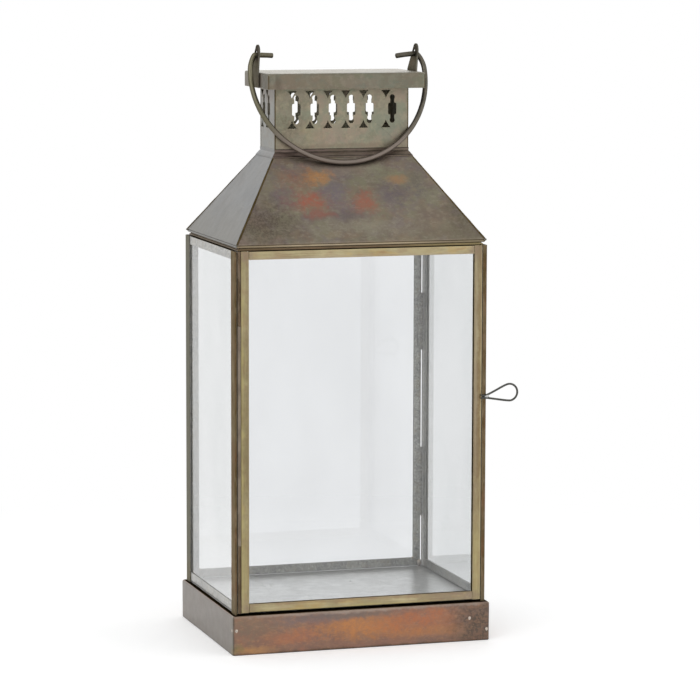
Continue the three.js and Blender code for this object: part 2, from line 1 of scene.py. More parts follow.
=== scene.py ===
"""The looks of a sheet-metal candle lantern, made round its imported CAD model.

Metres, in the frame of the CAD: +Z up, +X to the right along the front, the door faces -Y.
"""

import math

import bmesh
import bpy
from mathutils import Matrix, Vector, noise


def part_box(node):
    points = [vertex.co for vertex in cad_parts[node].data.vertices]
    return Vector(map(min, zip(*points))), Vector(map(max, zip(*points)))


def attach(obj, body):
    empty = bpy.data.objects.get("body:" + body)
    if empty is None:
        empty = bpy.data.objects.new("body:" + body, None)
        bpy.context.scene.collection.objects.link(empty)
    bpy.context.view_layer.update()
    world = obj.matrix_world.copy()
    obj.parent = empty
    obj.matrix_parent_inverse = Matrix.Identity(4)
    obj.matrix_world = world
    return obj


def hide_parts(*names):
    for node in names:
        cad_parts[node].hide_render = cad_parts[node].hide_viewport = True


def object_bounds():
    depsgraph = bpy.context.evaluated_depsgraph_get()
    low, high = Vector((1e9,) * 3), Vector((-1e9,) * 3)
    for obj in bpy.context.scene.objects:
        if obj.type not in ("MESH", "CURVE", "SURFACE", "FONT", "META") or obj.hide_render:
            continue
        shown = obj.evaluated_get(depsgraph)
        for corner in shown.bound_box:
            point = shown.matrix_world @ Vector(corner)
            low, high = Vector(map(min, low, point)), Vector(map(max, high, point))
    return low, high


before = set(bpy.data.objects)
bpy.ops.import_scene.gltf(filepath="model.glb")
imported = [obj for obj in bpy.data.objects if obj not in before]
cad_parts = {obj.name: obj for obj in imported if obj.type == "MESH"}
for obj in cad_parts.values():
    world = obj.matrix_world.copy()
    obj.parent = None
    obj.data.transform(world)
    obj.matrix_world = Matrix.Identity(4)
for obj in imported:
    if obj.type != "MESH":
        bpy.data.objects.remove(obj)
cad_low, cad_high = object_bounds()
scene = bpy.context.scene
MM = 0.001

# Sheet metal, as in the CAD
SHEET = 0.8 * MM
THIN = 0.5 * MM
SEAM = 0.3 * MM
FOLD = 0.5 * MM  # outer radius of a fold in thin sheet
ARRIS = 0.12 * MM  # width of the broken edges of a sheet
STATION = 8 * MM  # between the rings of a bar
SHARP = math.radians(35)  # from this angle an edge is shown sharp

X = Vector((1, 0, 0))
Y = Vector((0, 1, 0))
Z = Vector((0, 0, 1))


# Shapes
def waver(point, size, seed):
    """A smooth random value from -1 to 1 that changes over about `size`."""
    return noise.noise(Vector(point) / size + Vector((seed, 0.37 * seed, -0.73 * seed)))


def skin(rings, closed=False):
    """Vertices and faces through rings of points, as a ring-shaped body or one capped at its ends."""
    count = len(rings[0])
    vertices = [point for ring in rings for point in ring]
    faces = []
    for band in range(len(rings) if closed else len(rings) - 1):
        here = band * count
        there = (band + 1) % len(rings) * count
        for i in range(count):
            j = (i + 1) % count
            faces.append((here + i, here + j, there + j, there + i))
    if not closed:
        last = len(vertices) - count
        faces.append(tuple(range(count - 1, -1, -1)))
        faces.append(tuple(range(last, last + count)))
    return vertices, faces


def looks_up(normal):
    return normal.z > 0.25


def lies_flat(normal):
    return normal.z > 0.95


# Faces picked by this take the paler side finish: painted light on the sides.
def looks_sideways(normal):
    return abs(normal.x) > abs(normal.y) + 0.05


def make(name, shape, finish, body="housing", replaces=(), second=None, where=looks_up):
    """A piece that rides on a body and may stand for CAD nodes.

    finish, second: names of finishes; the second is for the faces whose normals pass `where`.
    """
    mesh = bpy.data.meshes.new(name)
    mesh.from_pydata(shape[0], [], shape[1])
    edit = bmesh.new()
    edit.from_mesh(mesh)
    bmesh.ops.recalc_face_normals(edit, faces=edit.faces)
    edit.to_mesh(mesh)
    edit.free()
    mesh.shade_smooth()
    mesh.set_sharp_from_angle(angle=SHARP)
    mesh.materials.append(finishes[finish])
    if second:
        mesh.materials.append(finishes[second])
        for face in mesh.polygons:
            face.material_index = int(where(face.normal))
    piece = bpy.data.objects.new(name, mesh)
    flat = piece.modifiers.new("flat_faces", "WEIGHTED_NORMAL")
    flat.weight = 100
    flat.keep_sharp = True
    scene.collection.objects.link(piece)
    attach(piece, body)
    if replaces:
        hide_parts(*replaces)


def arc(centre, radius, start, end, steps):
    """Points of an arc in a plane, between two angles in degrees."""
    angles = [math.radians(start + (end - start) * i / steps) for i in range(steps + 1)]
    return [(centre[0] + radius * math.cos(a), centre[1] + radius * math.sin(a)) for a in angles]


def line(start, end, steps):
    """Points of a straight path."""
    return [Vector(start).lerp(Vector(end), i / steps) for i in range(steps + 1)]


def rounded_rectangle(x, y, r, z, bulge, side_steps):
    """A level ring of points with half sizes x and y; `bulge` moves each point along its normal."""
    corner_steps = 4
    ring = []
    for corner in range(4):
        cx = (x - r) * (1 if corner in (0, 3) else -1)
        cy = (y - r) * (1 if corner < 2 else -1)
        for px, py in arc((0, 0), 1, 90 * corner, 90 * corner + 90, corner_steps):
            ring.append((cx + r * px, cy + r * py, Vector((px, py, 0))))
        nx, ny = ((0, 1), (-1, 0), (0, -1), (1, 0))[corner]
        reach = 2 * (x - r) if corner in (0, 2) else 2 * (y - r)
        start = Vector(ring[-1][:2])
        for i in range(1, side_steps):
            step = start + Vector((-ny, nx)) * (reach * i / side_steps)
            ring.append((step.x, step.y, Vector((nx, ny, 0))))
    points = []
    for px, py, normal in ring:
        point = Vector((px, py, z))
        points.append(point + normal * bulge(point) if bulge else point)
    return points


# Bars folded from thin sheet
def channel_section(half, width, lip):
    """The outline of a U section, whose back lies at 0 and whose lips end at `width` plus `lip`."""
    outside = [(half, width - ARRIS), *reversed(arc((half - FOLD, FOLD), FOLD, -90, 0, 4))]
    inside = [(half - THIN, THIN), (half - THIN, width - ARRIS), (half - THIN + ARRIS, width + lip),
              (half - ARRIS, width + lip)]
    mirrored = [(-a, b) for side in (outside, inside) for a, b in reversed(side)]
    return [*outside, *mirrored, *inside]


def folded_bar(node, along, opening, finish, body="housing", seed=0.0):
    """A channel in the place of its CAD node, with rounded folds and lips that waver a little."""
    low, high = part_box(node)
    middle = (low + high) / 2
    size = high - low
    across = opening.cross(along)
    half = abs(size.dot(across)) / 2
    width = abs(size.dot(opening))
    length = abs(size.dot(along))
    back = middle - opening * (width / 2)
    stations = max(2, round(length / STATION))
    rings = []
    for i in range(stations + 1):
        centre = back + along * (length * (i / stations - 0.5))
        lip = 0.06 * MM * waver(centre, 12 * MM, seed)
        section = channel_section(half, width, lip)
        rings.append([centre + across * a + opening * b for a, b in section])
    # Bars that don't open upwards take the dark finish on their top faces: painted shade in the gaps above
    # them.
    shaded_top = None if opening.z > 0 else "shade"
    make(f"{node}_folded", skin(rings), finish, body, [node], shaded_top)


def folded_post(node, side, end):
    """An angle in the place of its CAD post; side and end are the signs of its corner."""
    low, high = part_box(node)
    leg_x, leg_y, height = high - low
    corner = Vector((high.x if side > 0 else low.x, high.y if end > 0 else low.y, 0))
    outline = [
        (leg_x - ARRIS, 0), *reversed(arc((FOLD, FOLD), FOLD, 180, 270, 5)),
        (0, leg_y - ARRIS), (ARRIS, leg_y), (THIN - ARRIS, leg_y), (THIN, leg_y - ARRIS),
        (THIN, THIN), (leg_x - ARRIS, THIN), (leg_x, THIN - ARRIS), (leg_x, ARRIS),
    ]
    stations = round(height / STATION)
    rings = []
    for i in range(stations + 1):
        z = low.z + height * i / stations
        rings.append([corner + Vector((-side * u, -end * v, z)) for u, v in outline])
    # Its top faces take the dark finish: painted shade under the eave.
    make(f"{node}_folded", skin(rings), "post", "housing", [node], "shade")


# Round wires and beads
def centripetal(points, steps):
    """A centripetal Catmull-Rom curve through points."""
    padded = [points[0] * 2 - points[1], *points, points[-1] * 2 - points[-2]]
    curve = []
    for i in range(1, len(padded) - 2):
        p = padded[i - 1:i + 3]
        t = [0.0]
        for a, b in zip(p, p[1:]):
            t.append(t[-1] + math.sqrt((b - a).length))
        for k in range(steps):
            s = t[1] + (t[2] - t[1]) * k / steps
            a = [p[j].lerp(p[j + 1], (s - t[j]) / (t[j + 1] - t[j])) for j in range(3)]
            b = [a[j].lerp(a[j + 1], (s - t[j]) / (t[j + 2] - t[j])) for j in range(2)]
            curve.append(b[0].lerp(b[1], (s - t[1]) / (t[2] - t[1])))
    return [*curve, points[-1]]


def tube(path, radius, sides, tip, rough, seed=0.0):
    """A round wire along dense points; tip and rough are the length of its blunt ends and the
    unevenness of its radius, as shares of the radius.
    """
    path = [Vector(point) for point in path]
    tangents = []
    for i in range(len(path)):
        ahead = path[min(i + 1, len(path) - 1)]
        behind = path[max(i - 1, 0)]
        tangents.append((ahead - behind).normalized())
    side = tangents[0].orthogonal().normalized()
    rings = []

    def ring(centre, tangent, across, factor):
        other = tangent.cross(across)
        turns = [2 * math.pi * k / sides for k in range(sides)]
        return [centre + (across * math.cos(t) + other * math.sin(t)) * radius * factor for t in turns]

    ends = ((1.0, 0.55), (0.72, 0.84), (0.35, 0.97))  # distance from the wire and width, as shares
    for share, factor in ends:
        rings.append(ring(path[0] - tangents[0] * radius * tip * share, tangents[0], side, factor))
    for point, tangent in zip(path, tangents):
        side = (side - tangent * side.dot(tangent)).normalized()
        rings.append(ring(point, tangent, side, 1 + rough * waver(point, 6 * MM, seed)))
    for share, factor in reversed(ends):
        rings.append(ring(path[-1] + tangents[-1] * radius * tip * share, tangents[-1], side, factor))
    return skin(rings)


def blob(centre, radii, normal, seed):
    """A small uneven drop of solder, flattened along `normal` by the third of its radii."""
    steps = 12
    turn = normal.to_track_quat("Z", "Y").to_matrix()
    centre = Vector(centre)
    rings = []
    for i in range(1, steps):
        polar = math.pi * i / steps
        ring = []
        for k in range(2 * steps):
            around = math.pi * k / steps
            direction = Vector((
                math.sin(polar) * math.cos(around), math.sin(polar) * math.sin(around), math.cos(polar)))
            swell = 1 + 0.18 * waver(direction, 0.9, seed)
            local = Vector([r * d * swell for r, d in zip(radii, direction)])
            ring.append(centre + turn @ local)
        rings.append(ring)
    return skin(rings)


def joined(shapes):
    """Several shapes as one."""
    vertices = []
    faces = []
    for points, polygons in shapes:
        start = len(vertices)
        vertices.extend(points)
        faces.extend(tuple(start + i for i in polygon) for polygon in polygons)
    return vertices, faces


# Node materials
def colour(text):
    """A colour written as it looks, such as #8A8470, in the linear values that nodes take."""
    values = [int(text[i:i + 2], 16) / 255 for i in (1, 3, 5)]
    return (*[v / 12.92 if v <= 0.04045 else ((v + 0.055) / 1.055) ** 2.4 for v in values], 1)


class Finish:
    """A Principled material, fed by layers that are laid out in the object's own coordinates."""

    def __init__(self, name, **values):
        self.material = bpy.data.materials.new(name)
        self.material.use_nodes = True
        self.tree = self.material.node_tree
        self.shader = self.tree.nodes["Principled BSDF"]
        self.output = self.tree.nodes["Material Output"]
        for key, value in values.items():
            self.feed(self.shader.inputs[key.replace("_", " ")], value)
        self.place = self.node("ShaderNodeTexCoord").outputs["Object"]
        self.axes = self.node("ShaderNodeSeparateXYZ", {0: self.place}).outputs
        self.drift = None

    def feed(self, socket, value):
        if isinstance(value, bpy.types.NodeSocket):
            self.tree.links.new(value, socket)
        elif isinstance(value, str):
            socket.default_value = colour(value)
        else:
            socket.default_value = value

    def node(self, kind, inputs=None, **settings):
        made = self.tree.nodes.new(kind)
        for key, value in settings.items():
            setattr(made, key, value)
        for key, value in (inputs or {}).items():
            self.feed(made.inputs[key], value)
        return made

    def cloud(self, size, detail, rough, stretch=(1, 1, 1), seed=0.0):
        """A random value round 0.5 in blotches of about `size`, drawn out by `stretch`."""
        scale = [1 / (size * share) for share in stretch]
        shift = (seed * 7.31, seed * 3.17, seed * 5.93)
        place = self.node("ShaderNodeMapping", {"Vector": self.place, "Location": shift, "Scale": scale})
        inputs = {"Vector": place.outputs[0], "Scale": 1.0, "Detail": detail, "Roughness": rough}
        return self.node("ShaderNodeTexNoise", inputs).outputs["Fac"]

    def step(self, value, low, high):
        """0 below `low`, 1 above `high` and smooth between them."""
        inputs = {"Value": value, "From Min": low, "From Max": high}
        made = self.node("ShaderNodeMapRange", inputs, interpolation_type="SMOOTHSTEP")
        return made.outputs["Result"]

    def scaled(self, value, low, high):
        """A value from 0 to 1, mapped to a range in a straight line."""
        return self.node("ShaderNodeMapRange", {"Value": value, "To Min": low, "To Max": high}).outputs[0]

    def math(self, operation, a, b):
        return self.node("ShaderNodeMath", {0: a, 1: b}, operation=operation).outputs[0]

    def mix(self, factor, a, b, blend="MIX"):
        made = self.node("ShaderNodeMix", {0: factor, 6: a, 7: b}, data_type="RGBA", blend_type=blend)
        return made.outputs[2]

    def vector(self, operation, a, b=None, output=0):
        """Vector maths, where a length and a dot product come out at output 1."""
        inputs = {0: a}
        if b is not None:
            inputs["Scale" if operation == "SCALE" else 1] = b
        return self.node("ShaderNodeVectorMath", inputs, operation=operation).outputs[output]

    def wander(self):
        """A random move of some millimetres, which makes the outlines of all spots irregular."""
        for size, reach in ((15 * MM, 26 * MM), (4 * MM, 9 * MM)):
            inputs = {"Vector": self.place, "Scale": 1 / size, "Detail": 4.0, "Roughness": 0.6}
            random = self.node("ShaderNodeTexNoise", inputs).outputs["Color"]
            move = self.vector("SCALE", self.vector("SUBTRACT", random, (0.5, 0.5, 0.5)), reach)
            self.drift = self.vector("ADD", self.drift, move) if self.drift else move
        self.breaks = self.scaled(self.cloud(4 * MM, 4.0, 0.6, seed=11.0), -0.8, 0.8)
        self.speckle = self.step(self.cloud(1.8 * MM, 3.0, 0.65, seed=12.0), 0.3, 0.58)

    def spot(self, centre, radii):
        """1 inside a ragged patch that fills about an ellipsoid, and 0 outside."""
        if not self.drift:
            self.wander()
        share = min(1.0, min(radii) / (9 * MM))  # small patches are less ragged
        place = self.vector("ADD", self.place, self.vector("SCALE", self.drift, share))
        unit = self.vector("MULTIPLY", self.vector("SUBTRACT", place, centre), [1 / r for r in radii])
        reach = self.vector("LENGTH", unit, output=1)
        patch = self.step(self.math("ADD", reach, self.breaks), 1.5, 0.15)
        return self.math("MULTIPLY", patch, self.math("MAXIMUM", self.speckle, 1 - 0.45 * share))

    def edges(self, width):
        """1 on edges, where the metal is worn and also painted lighter as a highlight: where a rounded
        normal turns away from the true one.
        """
        soft = self.node("ShaderNodeBevel", {"Radius": width}, samples=6).outputs[0]
        true = self.node("ShaderNodeNewGeometry").outputs["Normal"]
        turned = self.math("SUBTRACT", 1.0, self.vector("DOT_PRODUCT", soft, true, 1))
        return self.step(turned, 0.01, 0.12)

    def crevices(self, reach):
        """1 in corners and seams that little light reaches."""
        open_share = self.node("ShaderNodeAmbientOcclusion", {"Distance": reach}, samples=8).outputs["AO"]
        return self.step(self.math("SUBTRACT", 1.0, open_share), 0.25, 0.75)

    def dress(self, tint, roughness, relief, depth):
        """Feeds the colour, the roughness and a fine relief, whose height is `depth`, to the shader."""
        self.feed(self.shader.inputs["Base Color"], tint)
        self.feed(self.shader.inputs["Roughness"], roughness)
        bump = self.node("ShaderNodeBump", {"Height": relief, "Distance": depth, "Strength": 1.0})
        self.feed(self.shader.inputs["Normal"], bump.outputs[0])
        return self.material


LEVEL = (30, 30, 1)  # draws marks out round the lantern
UPRIGHT = (1, 1, 30)  # draws marks out up a bar
ALONG = (30, 1, 1)  # draws marks out along a rail
PLAIN = (1, 1, 1)


def patina(name, ground, blotches, places, bands, drawn, worn_and_highlight, crevice_shade, crevice_shade_strength=0.7, gloss=(0.32, 0.52),
           **values):
    """Aged sheet metal; every size and place is in millimetres.

    ground: size of its blotches and two colours. blotches: (size, share of the surface, strength,
    colour) and a stretch where they are drawn out. places: (centre, radii, strength, colour).
    bands: (axis, from, to, strength, colour), for a colour that comes in between two levels.
    drawn: stretch of the scratches. The two colours that follow are for the edges, worn and lighter as a
    painted highlight along the folds, and for the painted shade in corners and seams; the number after
    them is the strength of that painted shade. gloss: lowest and highest roughness.
    """
    finish = Finish(name, **values)
    tint = finish.mix(finish.step(finish.cloud(ground[0] * MM, 5.0, 0.6), 0.4, 0.62), *ground[1:])

    def lay(factor, strength, shade):
        nonlocal tint
        tint = finish.mix(finish.math("MULTIPLY", factor, strength), tint, shade)

    for seed, (size, share, strength, shade, *stretch) in enumerate(blotches, 1):
        limit = 0.64 - 0.28 * share  # the cloud is above this on about that share of the surface
        cloud = finish.cloud(size * MM, 5.0, 0.65, *(stretch or [PLAIN]), seed)
        lay(finish.step(cloud, limit - 0.06, limit + 0.06), strength, shade)
    for axis, start, full, strength, shade in bands:
        lay(finish.step(finish.axes[axis], start * MM, full * MM), strength, shade)
    for centre, radii, strength, shade in places:
        lay(finish.spot([MM * c for c in centre], [MM * r for r in radii]), strength, shade)
    grain = finish.scaled(finish.cloud(0.8 * MM, 3.0, 0.7), 0.9, 1.1)
    grey = finish.node("ShaderNodeCombineColor", {0: grain, 1: grain, 2: grain}).outputs[0]
    tint = finish.mix(1.0, tint, grey, "MULTIPLY")
    lay(finish.step(finish.cloud(0.4 * MM, 2.0, 0.5, drawn, 4), 0.64, 0.74), 0.12, "#B8B0A0")
    # Edges: wear, and a painted highlight along the folds.
    lay(finish.edges(0.45 * MM), 0.45, worn_and_highlight)
    # Painted shade: darker where the occlusion node finds that little light reaches, in corners and seams.
    lay(finish.crevices(4 * MM), crevice_shade_strength, crevice_shade)
    dimples = finish.cloud(6 * MM, 2.0, 0.5, seed=1.0)
    brush = finish.math("MULTIPLY", finish.cloud(0.4 * MM, 2.0, 0.6, drawn, 2), 0.12)
    roughness = finish.scaled(finish.cloud(8 * MM, 4.0, 0.6, seed=9.0), *gloss)
    return finish.dress(tint, roughness, finish.math("ADD", dimples, brush), 0.08 * MM)


def waxed(weight):
    """Metal under a dull clear coat."""
    return {"Metallic": 0.75, "Coat_Weight": weight, "Coat_Roughness": 0.3}


def on_front(y, depth, *marks):
    """Places on a face that looks to the front, from marks ((x, z), (radius_x, radius_z), ...)."""
    return [((x, y, z), (rx, depth, rz), *rest) for (x, z), (rx, rz), *rest in marks]


def on_roof(x, z):
    """A place on the front roof sheet, in millimetres."""
    foot_y, foot_z = -71.3, 302.4
    slope = 51.85 / 63.2  # run over rise
    return (x, foot_y + slope * (z - foot_z), z)


def roof_finish():
    patches = (
        ((-4, 354), (34, 5), 0.6, "#84766A"), ((-62, 343), (9, 14), 0.6, "#747058"),
        ((54, 347), (11, 11), 0.6, "#5C534F"), ((-52, 333), (13, 8), 0.7, "#62585E"),
        ((-14, 336), (13, 14), 0.7, "#6A6068"), ((-14, 321), (30, 4), 0.6, "#5C5258"),
        ((36, 335), (18, 7), 0.7, "#5E545A"), ((31, 348), (15, 8), 0.7, "#7B7A60"),
        ((22, 354), (9, 4), 0.5, "#85866F"), ((38, 345), (8, 3), 0.7, "#96704E"),
        ((-40, 347), (15, 8), 0.55, "#8A5F4C"), ((-22, 348), (10, 5), 0.75, "#AE7C48"),
        ((-36, 331), (18, 9), 0.55, "#835048"), ((-33, 331), (9, 6), 0.65, "#9E5540"),
        ((8, 330), (14, 9), 0.55, "#825A50"), ((9, 330), (8, 6), 0.6, "#9A5844"),
        ((-26, 322), (11, 3), 0.6, "#8E5444"), ((8, 313), (48, 6), 0.5, "#8A8474"),
        ((-72, 316), (26, 19), 0.9, "#51473B"), ((62, 318), (20, 12), 0.4, "#7A6C5C"),
        ((84, 320), (15, 20), 0.75, "#565040"), ((66, 308), (20, 5), 0.5, "#6A5F4E"),
    )
    depth = 26
    places = [(on_roof(*at), (rx, depth, rz), *rest) for at, (rx, rz), *rest in patches]
    # The band along the foot of the sheet paints it lighter: a painted highlight along the fold.
    return patina(
        "roof_patina", (34, "#6B5F54", "#75705C"),
        ((20, 0.35, 0.5, "#6F6264"), (12, 0.3, 0.4, "#806E5A"), (7, 0.3, 0.3, "#7E7A68", (1.6, 1.6, 1)),
         (2.2, 0.25, 0.35, "#908876", (2, 2, 1))),
        places, ((2, 303.6, 302.8, 0.2, "#A08E7C"),), LEVEL, "#8E8062", "#241D17", **waxed(0.15))


def collar_finish():
    low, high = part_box("vent_collar")
    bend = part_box("roof_front")[1].z
    # Dark lines at the top edge, along the bend and near the foot: painted shade in the creases and under
    # the edges.
    shade_lines = [((0, 0, z / MM), (200, 200, 0.55), 0.85, "#38302A")
             for z in (high.z - 0.3 * MM, bend + 0.2 * MM, low.z + 0.9 * MM)]
    return patina(
        "collar_patina", (20, "#6C5C54", "#665A4C"), ((8, 0.3, 0.4, "#7C6E62", (2, 2, 1)),),
        shade_lines, (), LEVEL, "#8E8062", "#241D17", **waxed(0.15))


def plinth_finish():
    marks = on_front(
        -75, 9,
        ((-4, 16), (40, 10), 0.8, "#AF7548"), ((-2, 17), (26, 6), 0.5, "#BE8450"),
        ((44, 19), (36, 8), 0.85, "#AC6C4A"), ((-56, 10), (20, 6), 0.7, "#AC6E4E"),
        ((52, 10), (28, 4), 0.6, "#B0784C"), ((-84, 3), (16, 3), 0.8, "#BA8C58"),
        ((-97, 4), (5, 4), 0.7, "#747048"), ((-40, 24), (32, 4), 0.6, "#74686A"),
        ((-10, 26), (44, 3), 0.7, "#6C6662"), ((0, 3), (80, 3), 0.5, "#8E6C5E"),
        ((93, 15), (22, 24), 1.0, "#564B41"), ((-86, 20), (22, 14), 0.7, "#7C6C5A"))
    # Painted highlight: the pale line along the top fold. The other three are dark lines along the bottom
    # edge and the front corners.
    edges = (
        ((0, -75, 29), (110, 6, 1.7), 0.8, "#A09286"), ((0, -75, 0), (110, 9, 1.3), 0.7, "#4A4034"),
        ((-99.8, -75, 15), (1.2, 1.4, 40), 0.7, "#4A4238"), ((100, -75, 15), (1.2, 9, 40), 0.7, "#4A4238"))
    return patina(
        "plinth_patina", (24, "#826456", "#8A6C59"),
        ((13, 0.35, 0.5, "#78645E", (2, 2, 1)), (16, 0.3, 0.4, "#9A6A50", (2, 2, 1)),
         (4, 0.3, 0.4, "#9C7660", (2, 2, 1)), (1.8, 0.25, 0.4, "#AE8460", (2, 2, 1))),
        # Painted light: the left face (x below -98.8 mm) gets a greyer copy of the patina, for the light on
        # that side.
        (*marks, *edges), ((0, -98.8, -99.5, 0.9, "#76716A"), (2, 8, 1, 0.25, "#5C5248")),
        LEVEL, "#94846E", "#241B15", **waxed(0.2))


def door_corners():
    corners = [(x, z) for x in (-88, 88) for z in (34, 295)]
    return on_front(-71, 8, *[(corner, (7, 6), 0.65, "#8A7668") for corner in corners])


def stile_finish():
    left, right = -92.6, 93.6  # outer edges of the stiles
    # The pale stripes at the outer edges of the stiles are painted highlights on their folds.
    stripes = on_front(
        -71, 8,
        ((left, 165), (2.0, 150), 0.6, "#BAAD72"), ((left + 6.2, 165), (2.4, 150), 0.6, "#84745C"),
        ((left + 4, 165), (5, 70), 0.5, "#7A6E4C"), ((right - 3, 190), (8, 120), 0.75, "#85725A"),
        ((right - 3, 160), (8, 45), 0.5, "#7C6650"), ((right - 6.4, 165), (1.0, 150), 0.5, "#7E6A56"),
        ((right - 4.9, 210), (1.1, 90), 0.5, "#A89C84"), ((right - 1.9, 190), (1.1, 110), 0.5, "#84704A"),
        ((right - 0.3, 165), (0.8, 150), 0.7, "#B6A882"), ((right - 3, 58), (3, 40), 0.5, "#AEA070"),
        ((left + 3, 58), (3, 40), 0.5, "#AC9E70"))
    return patina(
        "brass_stiles", (40, "#A09472", "#8E8262"),
        ((12, 0.35, 0.5, "#7E6C4E", (1, 1, 3)), (16, 0.3, 0.5, "#AFA378", (1, 1, 3)),
         (5, 0.3, 0.4, "#8C6E56", (1, 1, 2)), (1.2, 0.35, 0.3, "#C0B48C", (1, 1, 25))),
        stripes + door_corners(), (), UPRIGHT, "#D0C292", "#31261A", 0.45, (0.28, 0.46), Metallic=0.85)


def rail_finish():
    # The pale line along the top edge of the top rail is a painted highlight on its fold.
    stripes = on_front(
        -71, 8,
        ((0, 297.6), (130, 1.5), 0.5, "#BEB28A"), ((0, 292), (130, 1.3), 0.45, "#A29484"),
        ((0, 31.2), (130, 1.5), 0.5, "#B4A870"), ((0, 36.8), (130, 1.6), 0.5, "#8E725A"),
        ((76, 34), (26, 6), 0.6, "#85766A"))
    return patina(
        "brass_rails", (30, "#AFA380", "#9E9270"),
        ((14, 0.35, 0.5, "#8C7A5C", (3, 1, 1)), (9, 0.3, 0.4, "#B8985C", (3, 1, 1)),
         (5, 0.3, 0.4, "#947660", (3, 1, 1)), (1.2, 0.35, 0.3, "#C8BC94", (25, 1, 1))),
        stripes + door_corners(), (), ALONG, "#D0C292", "#31261A", 0.45, (0.28, 0.46), Metallic=0.85)


def glass_finish(name, clean, smeared):
    """Clear glass with faint smears; lamps shine through it."""
    finish = Finish(name, Transmission_Weight=1.0, Roughness=0.0, IOR=1.5)
    smear = finish.step(finish.cloud(60 * MM, 3.0, 0.5, (1, 1, 2)), 0.35, 0.7)
    finish.feed(finish.shader.inputs["Base Color"], finish.mix(smear, clean, smeared))
    clear = finish.node("ShaderNodeBsdfTransparent", {"Color": "#F0F2F3"})
    lamp = finish.node("ShaderNodeLightPath").outputs["Is Shadow Ray"]
    both = finish.node("ShaderNodeMixShader", {0: lamp, 1: finish.shader.outputs[0], 2: clear.outputs[0]})
    finish.feed(finish.output.inputs["Surface"], both.outputs[0])
    return finish.material


